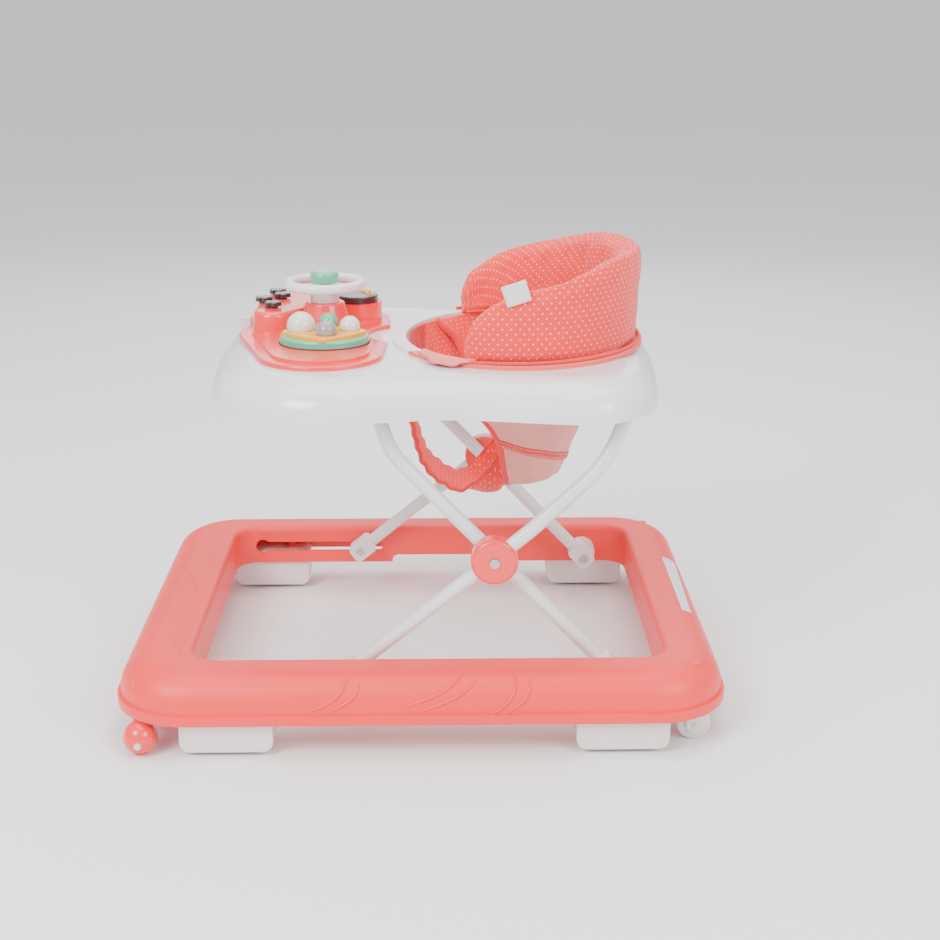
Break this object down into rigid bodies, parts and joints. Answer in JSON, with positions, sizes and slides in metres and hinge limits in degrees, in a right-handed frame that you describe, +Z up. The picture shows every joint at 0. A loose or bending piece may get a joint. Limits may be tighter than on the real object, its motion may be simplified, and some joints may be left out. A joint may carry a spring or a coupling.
{
  "type": "baby walker",
  "caption": "Folding baby walker: rounded ring base on casters, crossed tube legs, tray with toy console, steering wheel and fabric seat.",
  "frame": {"origin": "on the floor under the middle of the base ring", "axes": "+X to the rear of the walker, +Y to the child's right, +Z up"},
  "size_m": [0.68, 0.58, 0.524],
  "materials": {
    "coral_base": "satin moulded coral",
    "coral_plastic": "semi-gloss moulded coral",
    "tray_white": "glossy white moulding",
    "white_plastic": "satin white moulding",
    "blush_plastic": "satin pinkish white moulding",
    "white_paint": "glossy white powder coat",
    "steel": "zinc-plated",
    "rubber": "matte",
    "seat_fabric": "coral cotton with small white dots",
    "lining_fabric": "plain beige lining",
    "mint_plastic": "glossy",
    "yellow_plastic": "glossy",
    "pearl_plastic": "glossy",
    "grey_plastic": "glossy",
    "dark_plastic": "semi-gloss",
    "board_green": "solder mask"
  },
  "bodies": {
    "base": {"base_ring": "coral_base", "stop_pad_front_left": "white_plastic", "stop_pad_front_right": "white_plastic", "stop_pad_rear_left": "white_plastic", "stop_pad_rear_right": "white_plastic", "pad_soles": "rubber", "pad_screws": "steel", "caster_sockets": "white_plastic", "rear_wheel_brackets": "white_plastic", "rear_axles": "steel", "rear_pivot_discs": "blush_plastic", "rear_pivot_bolts": "steel"},
    "inner_frame": {"inner_frame": "white_paint", "inner_feet": "white_plastic", "hub_bolts": "steel"},
    "outer_legs": {"outer_leg_left": "white_paint", "outer_leg_right": "white_paint", "outer_foot_left": "white_plastic", "outer_foot_right": "white_plastic", "hub_cover_left": "coral_plastic", "hub_cover_right": "coral_plastic", "slider_pins": "steel"},
    "tray": {"tray_shell": "tray_white", "slide_rails": "white_plastic", "rear_pivot_blocks": "white_plastic", "tray_pivot_pins": "steel", "tray_screws": "steel", "seat_rim": "coral_plastic", "seat_back": "seat_fabric", "seat_bowl": "lining_fabric", "crotch_strap": "seat_fabric", "console_base": "coral_plastic", "steering_cone": "coral_plastic", "bead_base": "mint_plastic", "bead_frame": "yellow_plastic", "bead_pins": "steel", "battery_box": "dark_plastic", "circuit_board": "board_green", "speaker": "dark_plastic"},
    "steering_wheel": {"steering_wheel": "white_plastic"},
    "horn": {"horn_button": "mint_plastic"},
    "dial": {"dial_disc": "dark_plastic"},
    "release_tab": {"release_tab": "white_plastic"},
    "caster_left": {"caster_hood_left": "coral_plastic", "caster_axle_left": "blush_plastic"},
    "caster_wheel_left": {"caster_wheel_left": "coral_plastic"},
    "rear_wheel_left": {"rear_wheel_left": "white_plastic"},
    "caster_right": {"caster_hood_right": "coral_plastic", "caster_axle_right": "blush_plastic"},
    "caster_wheel_right": {"caster_wheel_right": "coral_plastic"},
    "rear_wheel_right": {"rear_wheel_right": "white_plastic"},
    "bead_large": {"bead_large": "pearl_plastic"},
    "bead_green": {"bead_green": "mint_plastic"},
    "bead_grey": {"bead_grey": "grey_plastic"},
    "bead_small": {"bead_small": "pearl_plastic"},
    "toy_button_1": {"toy_button_1": "dark_plastic"},
    "toy_button_2": {"toy_button_2": "dark_plastic"},
    "toy_button_3": {"toy_button_3": "dark_plastic"},
    "toy_button_4": {"toy_button_4": "dark_plastic"}
  },
  "joints": [
    {"name": "fold", "type": "hinge", "parent": "base", "child": "inner_frame", "pos_m": [0.2155, 0, 0.059], "axis": [0, -1, 0], "range_deg": [-2.5, 32]},
    {"name": "fold_cross", "type": "hinge", "parent": "inner_frame", "child": "outer_legs", "pos_m": [0.081, 0, 0.2], "axis": [0, 1, 0], "range_deg": [-4.7, 59.4]},
    {"name": "fold_tray", "type": "hinge", "parent": "outer_legs", "child": "tray", "pos_m": [0.23, 0, 0.374], "axis": [0, -1, 0], "range_deg": [-2.3, 28.6]},
    {"name": "caster_swivel_left", "type": "hinge", "parent": "base", "child": "caster_left", "pos_m": [-0.3065, -0.2505, 0.06], "axis": [0, 0, 1], "continuous": true},
    {"name": "caster_roll_left", "type": "hinge", "parent": "caster_left", "child": "caster_wheel_left", "pos_m": [-0.3065, -0.2675, 0.017], "axis": [0, 1, 0], "continuous": true},
    {"name": "rear_roll_left", "type": "hinge", "parent": "base", "child": "rear_wheel_left", "pos_m": [0.302, -0.238, 0.019], "axis": [0, 1, 0], "continuous": true},
    {"name": "caster_swivel_right", "type": "hinge", "parent": "base", "child": "caster_right", "pos_m": [-0.3065, 0.2505, 0.06], "axis": [0, 0, 1], "continuous": true},
    {"name": "caster_roll_right", "type": "hinge", "parent": "caster_right", "child": "caster_wheel_right", "pos_m": [-0.3065, 0.2675, 0.017], "axis": [0, 1, 0], "continuous": true},
    {"name": "rear_roll_right", "type": "hinge", "parent": "base", "child": "rear_wheel_right", "pos_m": [0.302, 0.238, 0.019], "axis": [0, 1, 0], "continuous": true},
    {"name": "steer", "type": "hinge", "parent": "tray", "child": "steering_wheel", "pos_m": [-0.114, 0.022, 0.46], "axis": [0, 0, 1], "continuous": true},
    {"name": "horn_press", "type": "slide", "parent": "steering_wheel", "child": "horn", "axis": [0, 0, -1], "range_m": [0, 0.002], "stiffness_N_per_m": 600},
    {"name": "dial_turn", "type": "hinge", "parent": "tray", "child": "dial", "pos_m": [-0.08, 0.094, 0.435], "axis": [0, 0, 1], "continuous": true},
    {"name": "release_slide", "type": "slide", "parent": "tray", "child": "release_tab", "axis": [-1, 0, 0], "range_m": [0, 0.003], "stiffness_N_per_m": 400},
    {"name": "bead_spin_large", "type": "hinge", "parent": "tray", "child": "bead_large", "pos_m": [-0.137, -0.05, 0.43], "axis": [0, 0, 1], "continuous": true},
    {"name": "bead_spin_green", "type": "hinge", "parent": "tray", "child": "bead_green", "pos_m": [-0.107, -0.029, 0.43], "axis": [0, 0, 1], "continuous": true},
    {"name": "bead_spin_grey", "type": "hinge", "parent": "tray", "child": "bead_grey", "pos_m": [-0.106, -0.078, 0.43], "axis": [0, 0, 1], "continuous": true},
    {"name": "bead_spin_small", "type": "hinge", "parent": "tray", "child": "bead_small", "pos_m": [-0.081, -0.052, 0.43], "axis": [0, 0, 1], "continuous": true},
    {"name": "button_press_1", "type": "slide", "parent": "tray", "child": "toy_button_1", "axis": [0, 0, -1], "range_m": [0, 0.0015], "stiffness_N_per_m": 500},
    {"name": "button_press_2", "type": "slide", "parent": "tray", "child": "toy_button_2", "axis": [0, 0, -1], "range_m": [0, 0.0015], "stiffness_N_per_m": 500},
    {"name": "button_press_3", "type": "slide", "parent": "tray", "child": "toy_button_3", "axis": [0, 0, -1], "range_m": [0, 0.0015], "stiffness_N_per_m": 500},
    {"name": "button_press_4", "type": "slide", "parent": "tray", "child": "toy_button_4", "axis": [0, 0, -1], "range_m": [0, 0.0015], "stiffness_N_per_m": 500}
  ],
  "couplings": [
    {"joint": "fold_cross", "follows": "fold", "ratio": 1.85},
    {"joint": "fold_tray", "follows": "fold", "ratio": 0.89}
  ]
}
